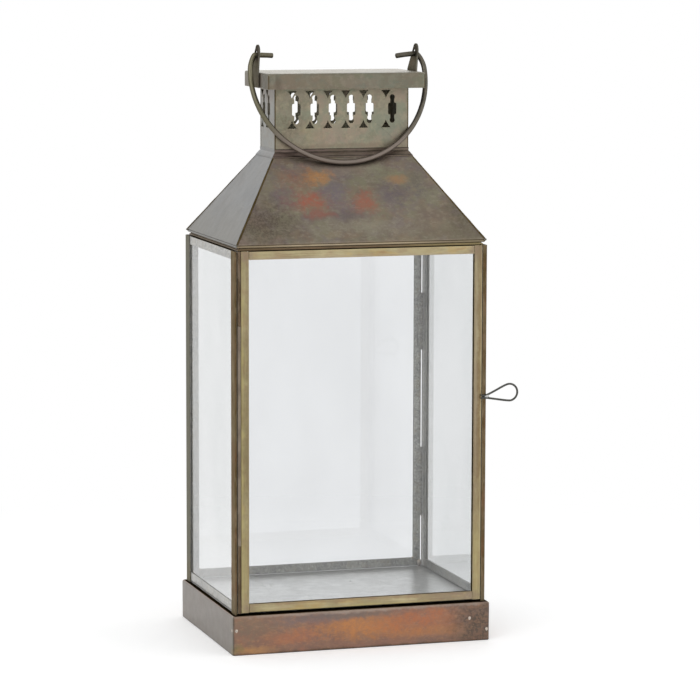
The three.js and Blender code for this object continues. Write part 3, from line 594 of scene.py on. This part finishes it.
finishes = {
    "roof": roof_finish(),
    "collar": collar_finish(),
    # The side sheets of the roof, and the sideways faces of the hem and the collar, get a paler, greyer copy
    # of the roof's patina: painted light, for how the light falls on the sides.
    "side": patina(
        "roof_side", (40, "#5E5F5F", "#676663"), ((25, 0.35, 0.35, "#5E5952"), (6, 0.25, 0.25, "#72706C")),
        (), ((2, 335, 304, 0.5, "#5F5A4A"),), LEVEL, "#8E8878", "#2C2822", **waxed(0.45)),
    # On the front, a darker line just below the top edge is painted shade on the fold. The band above 423.9
    # mm paints the top lighter as a painted highlight.
    "cap": patina(
        "cap_patina", (22, "#766B5C", "#75715F"),
        ((12, 0.35, 0.5, "#84766A"), (9, 0.3, 0.5, "#6A7064", (1.5, 1.5, 1)), (4, 0.3, 0.35, "#8E8676")),
        (((-53, -30, 419), (3, 5, 8), 0.7, "#544C42"), ((-60, 0, 417), (1.5, 40, 12), 0.5, "#545044"),
         *on_front(-30, 9, ((36, 419), (28, 9), 0.5, "#6B7365"), ((-30, 418), (25, 9), 0.5, "#7E7262"),
                   ((0, 424.2), (70, 1.2), 0.5, "#615D52"))),
        ((2, 423.9, 424.5, 0.4, "#A09C90"),), LEVEL, "#A29A82", "#2A241C", Metallic=0.75),
    "vent": patina(
        "vent_patina", (18, "#8C8472", "#848571"),
        ((12, 0.35, 0.5, "#9A8674"), (9, 0.3, 0.5, "#74745F"), (4, 0.3, 0.35, "#A39A80")),
        (*on_front(-19, 9, ((-10, 376), (14, 6), 0.5, "#9E867A"), ((38, 384), (16, 14), 0.5, "#767A6E"),
                   ((-40, 386), (14, 16), 0.75, "#6C6452"), ((-22, 380), (10, 8), 0.4, "#968868")),
         ((-52, -17, 408), (8, 6, 8), 0.4, "#7A6650"), ((0, -19, 370), (60, 9, 2), 0.5, "#7C6C5A")),
        (), LEVEL, "#AEA284", "#2C2519", **waxed(0.25)),
    # The vent's left and right walls get a greyer copy of its patina: painted light, for how the light falls
    # on the sides.
    "vent_side": patina(
        "vent_side", (16, "#84837C", "#7C7C76"), ((9, 0.3, 0.4, "#7C6E60"), (4, 0.3, 0.3, "#8A8A84")),
        (((-52, 0, 408), (8, 30, 7), 0.5, "#6E5C4C"),), (), LEVEL, "#AEA284", "#2C2519", **waxed(0.25)),
    "plinth": plinth_finish(),
    "post": patina(
        "post_patina", (16, "#58492F", "#695740"),
        ((10, 0.35, 0.5, "#74523C", (1, 1, 3)), (8, 0.35, 0.5, "#7A6C54", (1, 1, 3)),
         (3, 0.3, 0.3, "#8C7E66", (1, 1, 4))),
        (), ((1, 40, 60, 0.9, "#6A6E68"), (2, 52, 36, 0.5, "#66604E")), UPRIGHT, "#B4A486", "#30261C", 0.15,
        Metallic=0.7, Specular_Tint="#CCC2AE", Specular_IOR_Level=0.3),
    "hinge": patina(
        "hinge_patina", (14, "#4E3E2A", "#604E3A"),
        ((6, 0.35, 0.5, "#7C6858", (1, 1, 4)), (3, 0.3, 0.4, "#908272", (1, 1, 6))),
        (), (), UPRIGHT, "#A2927A", "#2A2018", 0.4, Metallic=0.75),
    "barrel": patina(
        "barrel_patina", (14, "#74685C", "#85796B"),
        ((6, 0.35, 0.5, "#8E8272", (1, 1, 4)), (3, 0.3, 0.4, "#5E5040", (1, 1, 6))),
        (), (), UPRIGHT, "#B8AC98", "#2A2018", 0.4, Metallic=0.75),
    # Darker below 301.1 mm, fully below 300.5 mm: painted shade on the underside of the rolled hem.
    "hem": patina(
        "hem_patina", (20, "#A8997F", "#A0917C"), ((8, 0.3, 0.4, "#8E7C66", (2, 2, 1)),),
        (), ((2, 301.1, 300.5, 0.8, "#6A5A44"), (0, 25, 75, 0.7, "#71664E"), (0, -45, -85, 0.6, "#75674F")),
        LEVEL, "#B0A288", "#1C150E", 0.35, Metallic=0.75),
    "ceiling": patina(
        "ceiling_patina", (20, "#7C6850", "#6E5E48"), ((8, 0.3, 0.4, "#806C54", (2, 2, 1)),),
        (), ((0, 10, 60, 0.8, "#94865F"), (0, -50, -80, 0.5, "#64543A")),
        LEVEL, "#8C7C5C", "#1C150E", 0.25, Metallic=0.8),
    # Dark finish: painted shade on faces that lie in gaps, and the colour of the dark solder seams.
    "shade": patina(
        "dark_seam_and_shade", (14, "#463C26", "#544832"), ((6, 0.3, 0.4, "#62543C"),),
        (), (), LEVEL, "#6E5E44", "#1C150E", Metallic=1.0, Specular_Tint="#6E665A"),
    "channel": patina(
        "channel_grey", (9, "#AAA8A2", "#979794"),
        ((3, 0.35, 0.45, "#787A76"), (7, 0.3, 0.35, "#A9A08C"), (1.5, 0.25, 0.8, "#C6C6C2")),
        (), (), UPRIGHT, "#D4D2C8", "#3A3834", **waxed(0.4)),
    "stile": stile_finish(),
    "rail": rail_finish(),
    # Lighter below 392 mm, fully below 368 mm: a painted highlight on the lower bow of the bail.
    "wire": patina(
        "dark_wire", (12, "#545248", "#5F5B52"), ((7, 0.35, 0.4, "#6C6458"), (2, 0.3, 0.35, "#44423C")),
        (), ((0, -40, -60, 0.6, "#74705A"), (2, 392, 368, 0.72, "#887C74")),
        PLAIN, "#9A9684", "#1E1C18", 0.6, (0.32, 0.46), Metallic=0.85, Specular_Tint="#8C887C"),
    "ear": patina(
        "ear_patina", (12, "#6C695E", "#77736A"), ((7, 0.35, 0.5, "#7C7066"), (2, 0.3, 0.35, "#4A4842")),
        (), ((2, 430, 439, 0.7, "#45433D"),),
        PLAIN, "#9A9684", "#1E1C18", 0.5, (0.32, 0.46), Metallic=0.85, Specular_Tint="#8C887C"),
    "pull": patina(
        "pull_wire", (12, "#484844", "#50504A"), ((3, 0.3, 0.4, "#3A3A36"),),
        (), (), PLAIN, "#7A786E", "#1E1C18", 0.4, (0.4, 0.55), Metallic=0.6),
    "floor": patina(
        "galvanised_floor", (8, "#B8B8B6", "#C6C6C4"),
        ((20, 0.4, 0.4, "#AAAAA8"), (1.5, 0.25, 0.3, "#929290")),
        (), (), ALONG, "#D4D4D2", "#5A5856", 0.6, (0.22, 0.4), Metallic=0.8),
    "solder": patina(
        "solder", (1.5, "#C6B8AA", "#A9A097"), ((0.8, 0.3, 0.4, "#D8CCBE"),),
        (), (), PLAIN, "#E0D8CC", "#5A5046", 0.5, (0.3, 0.45), Metallic=0.7),
    "glass": glass_finish("pane", "#F3F4F5", "#EFF0F1"),
    "side_glass": glass_finish("side_pane", "#EBECEC", "#E4E6E6"),
}


# CAD nodes that stay, with their edges broken
def keep(node, finish, arris=ARRIS):
    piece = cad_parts[node]
    piece.data.materials.clear()
    piece.data.materials.append(finishes[finish])
    if not arris:
        return
    piece.modifiers.new("weld", "WELD").merge_threshold = 0.01 * MM
    broken = piece.modifiers.new("broken_edges", "BEVEL")
    broken.width = arris
    broken.segments = 2
    broken.limit_method = "ANGLE"
    broken.angle_limit = math.radians(40)
    piece.data.shade_smooth()
    piece.modifiers.new("flat_faces", "WEIGHTED_NORMAL").weight = 100


def kept_nodes():
    for node in ("back_panel_glass", "door_glass"):
        keep(node, "glass", 0)
    for side in ("left", "right"):
        keep(f"{side}_panel_glass", "side_glass", 0)
        for level in ("lower", "upper"):
            keep(f"corner_tab_{side}_{level}", "channel")
        keep(f"ear_{side}", "ear", 0.25 * MM)
        keep(f"vent_{side}", "vent_side")
    for side in ("front", "back"):
        keep(f"vent_{side}", "vent")
    keep("ceiling_frame", "ceiling")
    keep("base_plate", "plinth")
    keep("floor_plate", "floor")
    keep("hinge_pin", "wire")


kept_nodes()


# Plinth
def plinth():
    half_x, half_y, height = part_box("base_tray")[1]
    sheet = 1.2 * MM
    fold = 1.6 * MM
    rim = 9 * MM
    foot = 0.5 * MM
    corner = 1.4 * MM

    def bulge(point):
        return 0.16 * MM * waver(point, 45 * MM, 2) + 0.05 * MM * waver(point, 11 * MM, 5) - 0.2 * MM

    def ring(inset, z, r=corner, move=None):
        return rounded_rectangle(half_x - inset, half_y - inset, r, z, move, 36)

    rings = [ring(inset, height, corner / 2) for inset in (14 * MM, 6 * MM)]
    for a, b in arc((fold, -fold), fold, 90, 180, 5):
        rings.append(ring(a, height + b, corner, bulge if b < -fold / 2 else None))
    for share in (0.85, 0.7, 0.55, 0.4, 0.25, 0.1):
        rings.append(ring(0, foot + (height - fold - foot) * share, corner, bulge))
    for a, b in arc((foot, foot), foot, 180, 270, 3):
        rings.append(ring(a, b, corner, bulge))
    for inset, z in ((rim, 0), (rim, sheet), (sheet, sheet), (sheet, height - sheet)):
        rings.append(ring(inset, z, corner / 2))
    # The flat top takes the dark finish: painted shade in the gap under the body.
    make("plinth", skin(rings), "plinth", "housing", ["base_tray"], "shade", lies_flat)

    dots = ((-97.2, 18.5), (84, 17.5), (97.6, 8.5))  # x and z on the front
    sunk = 0.2 * MM
    radii = (1.0 * MM, 1.3 * MM, 0.35 * MM)
    drops = [blob((x * MM, sunk - half_y, z * MM), radii, -Y, x) for x, z in dots]
    drops.append(blob((sunk - half_x, -72 * MM, 18.5 * MM), radii, -X, 3))
    make("plinth_solder", joined(drops), "solder")


plinth()


# Glazed body
def glazed_body():
    for side, sign in (("left", -1), ("right", 1)):
        panel = f"{side}_panel"
        bars = ((f"{panel}_front_stile", Z, Y), (f"{panel}_rear_stile", Z, -Y),
                (f"{panel}_top_rail", Y, -Z), (f"{panel}_bottom_rail", Y, Z),
                (f"back_panel_{side}_stile", Z, -sign * X))
        for seed, (node, along, opening) in enumerate(bars, 1):
            folded_bar(node, along, opening, "channel", seed=seed)
        folded_post(f"post_front_{side}", sign, -1)
        folded_post(f"post_rear_{side}", sign, 1)
    folded_bar("back_panel_top_rail", X, -Z, "channel", seed=6)
    folded_bar("back_panel_bottom_rail", X, Z, "channel", seed=7)


def door():
    bars = (("hinge_stile", Z, X, "stile"), ("latch_stile", Z, -X, "stile"),
            ("top_rail", X, -Z, "rail"), ("bottom_rail", X, Z, "rail"))
    for seed, (bar, along, opening, finish) in enumerate(bars, 1):
        folded_bar(f"door_{bar}", along, opening, finish, "door", seed)


glazed_body()
door()


def rolled_knuckle(node, finish, body, seam_angle):
    """A tube rolled from sheet, with the groove where its edge meets the sheet again."""
    low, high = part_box(node)
    axis = (low + high) / 2
    radius = 1.2 * MM
    bore = 0.75 * MM
    groove = 0.22 * MM
    sides = 40

    def ring(r, z, cut=0.0):
        points = []
        for k in range(sides):
            angle = 2 * math.pi * k / sides
            in_seam = math.cos(angle - math.radians(seam_angle)) > 0.985  # within 10 degrees
            reach = r - cut if in_seam else r
            points.append(Vector((axis.x + reach * math.cos(angle), axis.y + reach * math.sin(angle), z)))
        return points

    rings = [
        ring(bore, low.z), ring(radius - ARRIS, low.z), ring(radius, low.z + ARRIS, groove),
        ring(radius, high.z - ARRIS, groove), ring(radius - ARRIS, high.z), ring(bore, high.z),
    ]
    make(f"{node}_rolled", skin(rings, True), finish, body, [node])


rolled_knuckle("door_knuckle", "barrel", "door", -60)
rolled_knuckle("hinge_knuckle_bottom", "hinge", "housing", -120)
rolled_knuckle("hinge_knuckle_top", "hinge", "housing", -120)


# Wire pull across the right post
def pull():
    low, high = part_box("door_pull_loop")
    wire = 1.55 * MM
    end = 6.3 * MM
    lift = 2.6 * MM
    tail = low.x
    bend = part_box("post_front_right")[1].x - 1 * MM
    y = (low.y + high.y) / 2
    apart = (wire + SEAM) / 2
    level = high.z - wire / 2 - end - lift
    centre = (high.x - wire / 2 - end, lift)
    outline = [(tail, apart), (bend, apart), *arc(centre, end, 110, -103, 9), (bend, -apart), (tail, -apart)]
    curve = centripetal([Vector((a, y, level + b)) for a, b in outline], 10)
    shape = tube(curve, wire / 2, 14, 0.3, 0.03)
    make("pull_wire", shape, "pull", "door", ["door_pull_loop"])
    drop = blob((tail + 0.2 * MM, y + 0.3 * MM, level), (0.8 * MM, 1.3 * MM, 0.6 * MM), -Y, 4)
    make("pull_solder", drop, "stile", "door")
    grip = blob((bend + 1.2 * MM, y, level + 0.5 * MM), (2.0 * MM, 1.3 * MM, 0.9 * MM), -Y, 6)
    make("pull_binding", grip, "floor", "door")


pull()


# Roof
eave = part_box("eave_hem")[1]
vent_half = Vector((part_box("vent_front")[1].x, -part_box("vent_front")[0].y))
roof_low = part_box("roof_front")[0].z
roof_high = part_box("roof_front")[1].z
rise = roof_high - roof_low
run = Vector((eave.x - vent_half.x, eave.y - vent_half.y))


def roof_half(z):
    """Half sizes of the roof's outside at a height."""
    share = (roof_high - z) / rise
    return vent_half.x + run.x * share, vent_half.y + run.y * share


def roof_sheet(node, turn, half_low, half_high, foot, head):
    """A sloping sheet with soft dents, made facing -Y and turned about the vertical."""
    hip_gap = 0.25 * MM
    dent = 0.3 * MM
    sunk = 0.12 * MM
    columns = 48
    rows = 28
    slope = Vector((0, foot - head, rise)).normalized()
    normal = X.cross(slope)
    turned = Matrix.Rotation(turn, 3, "Z")

    def point(u, v, inner):
        z = roof_low + rise * v
        half = half_low + (half_high - half_low) * v - hip_gap
        place = Vector((half * u, -(foot + (head - foot) * v), z))
        fade = min(1, 6 * (1 - abs(u)), 6 * v, 8 * (1 - v))
        place += normal * fade * (dent * waver(turned @ place, 38 * MM, 1) - sunk)
        return turned @ (place - normal * (SHEET if inner else 0))

    count = columns + 1
    vertices = []
    faces = []
    for inner in (False, True):
        start = len(vertices)
        for r in range(rows + 1):
            vertices.extend(point(2 * c / columns - 1, r / rows, inner) for c in range(count))
        for r in range(rows):
            for c in range(columns):
                a = start + r * count + c
                faces.append((a, a + 1, a + count + 1, a + count))
    sheet = len(vertices) // 2
    border = [*range(count), *[r * count + columns for r in range(1, rows + 1)],
              *[rows * count + c for c in reversed(range(columns))],
              *[r * count for r in range(rows - 1, 0, -1)]]
    for a, b in zip(border, border[1:] + border[:1]):
        faces.append((a, b, b + sheet, a + sheet))
    # The left and right sheets take the paler side finish: painted light for the sides.
    finish, slot = ("side", "roof_side") if node in ("roof_left", "roof_right") else ("roof", "roof_patina")
    make(f"{node}_sheet", (vertices, faces), finish, "housing", [node])


def roof():
    front = (eave.x, vent_half.x, eave.y, vent_half.y)
    side = (eave.y, vent_half.y, eave.x, vent_half.x)
    roof_sheet("roof_front", 0, *front)
    roof_sheet("roof_right", math.pi / 2, *side)
    roof_sheet("roof_back", math.pi, *front)
    roof_sheet("roof_left", -math.pi / 2, *side)
    sunk = 0.55 * MM
    beads = []
    for sx in (-1, 1):
        for sy in (-1, 1):
            start = Vector((sx * (eave.x - sunk), sy * (eave.y - sunk), roof_low + 0.3 * MM))
            end = Vector((sx * (vent_half.x - sunk), sy * (vent_half.y - sunk), roof_high - 0.3 * MM))
            beads.append(tube(line(start, end, 60), 0.8 * MM, 12, 0.4, 0.14, 3 * sx + sy))
    make("hip_seams", joined(beads), "shade")


def hem():
    low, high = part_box("eave_hem")
    width = 3.2 * MM
    middle = (low.z + high.z) / 2
    half = (high.z - low.z) / 2
    edge = 0.3 * MM
    section = [*arc((half, 0), half, 270, 90, 8), (width - edge, half), (width, half - edge),
               (width, edge - half), (width - edge, -half)]

    def bulge(point):
        return 0.1 * MM * waver(point, 22 * MM, 7)

    rings = []
    for inset, lift in section:
        rings.append(rounded_rectangle(high.x - inset, high.y - inset, 0.8 * MM, middle + lift, bulge, 40))
    make("rolled_hem", skin(rings, True), "hem", "housing", ["eave_hem"], "side",
         looks_sideways)
    drops = []
    for seed, (sx, sy) in enumerate(((-1, 1), (1, -1), (-1, -1), (1, 1))):
        size = 1.3 * MM if sx * sy < 0 else 0.8 * MM
        place = (sx * (high.x - edge), sy * (high.y - edge), high.z)
        drops.append(blob(place, (size, size, 0.7 * size), Z, seed))
    make("eave_solder", joined(drops), "ear")


def collar():
    """The flange round the foot of the vent, with a groove along its bend."""
    low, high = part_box("vent_collar")
    foot = low.z
    knee = roof_high + 0.1 * MM
    top = high.z
    steep = [math.hypot(out, rise) / rise for out in run]

    def level(z, off):
        x, y = vent_half.x + off, vent_half.y + off
        if z < knee:
            x, y = (half + off * share for half, share in zip(roof_half(z), steep))
        return rounded_rectangle(x, y, 0.4 * MM, z, None, 24)

    inner = 0.1 * MM
    outer = 0.45 * MM
    groove = 0.12 * MM
    edge = 0.15 * MM
    levels = [(top - edge, outer), (knee + 0.9 * MM, outer), (knee + 0.45 * MM, outer - groove),
              (knee, outer - groove)]
    levels += [(knee + (foot - knee) * share, outer) for share in (0.15, 0.4, 0.65, 0.9)]
    levels += [(foot, outer - 0.2 * MM), (foot, inner), (knee, inner), (top, inner), (top, outer - edge)]
    rings = [level(z, off) for z, off in levels]
    make("pressed_collar", skin(rings, True), "collar", "housing", ["vent_collar"], "side",
         looks_sideways)


roof()
hem()
collar()


# Cap
def cap():
    low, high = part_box("vent_cap")
    crown = 0.5 * MM
    top = high.z - crown
    fold = 1.3 * MM
    corner = 1.6 * MM

    def dent(point):
        return 0.12 * MM * waver(point, 24 * MM, 3)

    def ring(inset, z, r=corner, move=None):
        return rounded_rectangle(high.x - inset, high.y - inset, r, z, move, 30)

    crown_reach = 28 * MM
    rings = []
    for inset in (crown_reach, 20 * MM, 13 * MM, 7 * MM, 3 * MM):
        lift = crown * inset / crown_reach
        rings.append([p + Z * (lift + 0.5 * dent(p)) for p in ring(inset, top, corner / 2)])
    for a, b in arc((fold, -fold), fold, 90, 180, 5):
        rings.append(ring(a, top + b))
    for share in (0.8, 0.6, 0.4, 0.2, 0.05):
        rings.append(ring(0, low.z + (top - fold - low.z) * share, corner, dent))
    edge = 0.15 * MM
    rings.append(ring(edge, low.z, corner, dent))
    rings.append(ring(SHEET - edge, low.z, corner / 2, dent))
    rings.append(ring(SHEET, low.z + 2 * edge, corner / 2, dent))
    rings.append(ring(SHEET, top - SHEET, corner / 2))
    make("folded_cap", skin(rings), "cap", "housing", ["vent_cap"])


cap()


def corner_seams():
    """Thin beads down the corners of the vent and the cap."""
    low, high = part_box("vent_cap")
    collar_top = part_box("vent_collar")[1].z + 0.2 * MM
    beads = []
    for sx in (-1, 1):
        for sy in (-1, 1):
            spans = (
                (vent_half.x - 0.25 * MM, vent_half.y - 0.25 * MM, collar_top, low.z, 0.45 * MM),
                (high.x - 0.55 * MM, high.y - 0.55 * MM, low.z + 0.4 * MM, high.z - 2.2 * MM, 0.35 * MM),
            )
            for x, y, start, end, radius in spans:
                path = line((sx * x, sy * y, start), (sx * x, sy * y, end), 16)
                beads.append(tube(path, radius, 10, 0.4, 0.12, 5 * sx + sy))
    make("corner_seams", joined(beads), "shade")


corner_seams()


def ceiling_seams():
    """Solder that closes the seam between the panels and the ceiling frame, and a stop behind the door."""
    low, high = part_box("ceiling_frame")
    x, y = high.xy
    z = low.z + 0.2 * MM
    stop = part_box("door_top_rail")[1].y + 0.6 * MM
    stop_z = low.z - 0.3 * MM
    seam = 0.9 * MM
    runs = (
        ((-x, -y, z), (-x, y, z), seam), ((x, -y, z), (x, y, z), seam), ((-x, y, z), (x, y, z), seam),
        ((-x, stop, stop_z), (x, stop, stop_z), 0.4 * MM),
    )
    beads = []
    for seed, (start, end, radius) in enumerate(runs):
        beads.append(tube(line(start, end, 60), radius, 10, 0.3, 0.1, seed))
    make("ceiling_seams", joined(beads), "ceiling")


ceiling_seams()


# Bail
def bail():
    """The wire of the CAD's bail: free ends, sloping shoulders and a bow that rests on the roof."""
    wire = 1.9 * MM  # its radius
    axis_y = -4.5 * MM
    ear_low, ear_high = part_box("ear_right")
    axis_z = ear_high.z - 7.8 * MM
    join = 11.5 * MM  # from the axis down to where the shoulders meet the bow
    lead = 6.5 * MM  # from there to a control point
    drop = 16.3 * MM  # from the axis down to the bow's centre
    half_height = 66.2 * MM
    half_width = ear_high.x + 5.8 * MM
    straight = ear_high.x + 0.8 * MM
    offset = 0.35 * MM

    def bow_point(angle, side):
        across = offset + side * half_width * math.cos(angle)
        return Vector((across, 0, -drop - half_height * math.sin(angle)))

    join_angle = math.asin((join - drop) / half_height)

    def shoulder(side):
        end = bow_point(join_angle, side)
        along = Vector((side * half_width * math.sin(join_angle), 0, half_height * math.cos(join_angle)))
        control = [Vector((side * straight, 0, 0)), Vector((side * (straight + 0.5 * MM), 0, 0)),
                   end + along.normalized() * lead, end]
        points = []
        for i in range(17):
            t = i / 16
            weights = ((1 - t) ** 3, 3 * t * (1 - t) ** 2, 3 * t * t * (1 - t), t ** 3)
            points.append(sum((c * w for c, w in zip(control, weights)), Vector()))
        return points

    def pin(side, length, droop):
        """The free end inside an ear."""
        end = ear_low.x - length
        shares = [i / 12 for i in range(12)]
        return [Vector((side * (end + (straight - end) * s), 0, -droop * (1 - s) ** 1.6)) for s in shares]

    steps = 90
    bow = [bow_point(join_angle + (math.pi - 2 * join_angle) * i / steps, -1) for i in range(1, steps)]
    path = [*pin(-1, 11.3 * MM, 0.5 * MM), *shoulder(-1), *bow, *shoulder(1)[::-1],
            *pin(1, 13.9 * MM, 1.6 * MM)[::-1]]
    slope = math.atan2(run.y, rise)
    start = -(axis_y + vent_half.y) * math.cos(slope) + (axis_z - roof_high) * math.sin(slope)
    lean = slope + math.asin((wire + SEAM - start) / (drop + half_height))
    turn = Matrix.Rotation(-lean, 3, "X")
    path = [turn @ point + Vector((0, axis_y, axis_z)) for point in path]
    make("bail_wire", tube(path, wire, 24, 0.35, 0.025, 2), "wire", "handle", ["bail"])


bail()


# Solder at the corners of the panels
def corner_solder():
    drops = []
    inner_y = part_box("back_panel_left_stile")[0].y
    foot, level_low = (corner.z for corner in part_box("back_panel_bottom_rail"))
    level_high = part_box("back_panel_top_rail")[0].z
    inner_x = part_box("back_panel_right_stile")[0].x
    for sx in (-1, 1):
        for z in (level_low, level_high):
            place = (sx * (inner_x - 0.2 * MM), inner_y + 0.1 * MM, z)
            drops.append(blob(place, (1.1 * MM, 1.0 * MM, 0.5 * MM), -Y, sx + z / MM))
    for side, sx in (("left", -1), ("right", 1)):
        tab_low, tab_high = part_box(f"corner_tab_{side}_lower")
        x = (tab_low.x + tab_high.x) / 2
        for out, up, radii, seed in ((0.4, 2.2, (1.7, 3.2, 0.9), sx), (1.2, 2.6, (0.8, 0.9, 0.5), 3 * sx)):
            place = (x, inner_y - out * MM, foot + up * MM)
            drops.append(blob(place, [r * MM for r in radii], -Y, seed))
    make("panel_solder", joined(drops), "solder")


corner_solder()


# Studio
UNSEEN = 0.75  # strength of the white surroundings in the rays that don't show them


def camera():
    """The photograph's view: where it stands and how it is turned, fitted to the lantern's edges."""
    place = Vector((-0.73838, -2.41111, 0.53421))
    yaw, pitch, roll = (math.radians(a) for a in (-17.305, 7.233, 0.15))
    ahead = Vector((-math.sin(yaw) * math.cos(pitch), math.cos(yaw) * math.cos(pitch), -math.sin(pitch)))
    right = Vector((math.cos(yaw), math.sin(yaw), 0))
    up = right.cross(ahead)
    right, up = (math.cos(roll) * right + math.sin(roll) * up, math.cos(roll) * up - math.sin(roll) * right)
    data = bpy.data.cameras.new("camera")
    data.sensor_width = 36
    data.lens = 172.757
    data.clip_start = 0.05
    data.clip_end = 50
    made = bpy.data.objects.new("camera", data)
    made.matrix_world = Matrix((right, up, -ahead)).transposed().to_4x4()
    made.location = place
    scene.collection.objects.link(made)
    scene.camera = made


def lamp(name, place, size, power):
    """A square soft lamp that faces the middle of the lantern."""
    data = bpy.data.lights.new(name, "AREA")
    data.size = size
    data.energy = power
    made = bpy.data.objects.new(name, data)
    made.location = place
    made.rotation_mode = "QUATERNION"
    aim = Vector((0, 0, cad_high.z / 2)) - Vector(place)
    made.rotation_quaternion = aim.to_track_quat("-Z", "Y")
    scene.collection.objects.link(made)


def seen_rays(tree):
    """1 for the rays that show the white background: camera, glossy and transmission rays."""
    path = tree.nodes.new("ShaderNodeLightPath")
    total = path.outputs["Is Camera Ray"]
    for kind in ("Is Glossy Ray", "Is Transmission Ray"):
        added = tree.nodes.new("ShaderNodeMath")
        added.operation = "MAXIMUM"
        tree.links.new(total, added.inputs[0])
        tree.links.new(path.outputs[kind], added.inputs[1])
        total = added.outputs[0]
    return total


def surroundings():
    world = bpy.data.worlds.new("studio")
    scene.world = world
    world.use_nodes = True
    tree = world.node_tree
    background = tree.nodes["Background"]
    background.inputs["Color"].default_value = (1, 1, 1, 1)
    level = tree.nodes.new("ShaderNodeMapRange")
    tree.links.new(seen_rays(tree), level.inputs["Value"])
    level.inputs["To Min"].default_value = UNSEEN
    tree.links.new(level.outputs[0], background.inputs["Strength"])


def studio_floor():
    """A white floor that fades into the white background and keeps the lantern's soft shadow."""
    reach = 6.0
    mesh = bpy.data.meshes.new("studio_floor")
    corners = [(-reach, -reach), (reach, -reach), (reach, reach), (-reach, reach)]
    mesh.from_pydata([(x, y, -0.05 * MM) for x, y in corners], [], [(0, 1, 2, 3)])
    finish = Finish("studio_floor", Base_Color="#F2F2F2", Roughness=0.9, Specular_IOR_Level=0.0)
    finish.feed(finish.shader.inputs["Emission Color"], "#FFFFFF")
    seen = seen_rays(finish.tree)
    finish.feed(finish.shader.inputs["Emission Strength"], finish.math("MULTIPLY", seen, 0.25))
    glow = finish.scaled(seen, UNSEEN, 1.0)
    white = finish.node("ShaderNodeEmission", {"Color": "#FFFFFF", "Strength": glow})
    far = finish.step(finish.vector("LENGTH", finish.place, output=1), 0.25, 0.6)
    both = finish.node("ShaderNodeMixShader", {0: far, 1: finish.shader.outputs[0], 2: white.outputs[0]})
    finish.feed(finish.output.inputs["Surface"], both.outputs[0])
    mesh.materials.append(finish.material)
    made = bpy.data.objects.new("studio_floor", mesh)
    scene.collection.objects.link(made)


camera()
surroundings()
studio_floor()
lamp("key", (-1.4, -1.6, 1.6), 1.6, 14)
lamp("fill", (1.6, -1.2, 1.0), 1.6, 6)
lamp("rear", (0.4, 1.8, 1.4), 1.6, 6)
scene.view_settings.view_transform = "Standard"
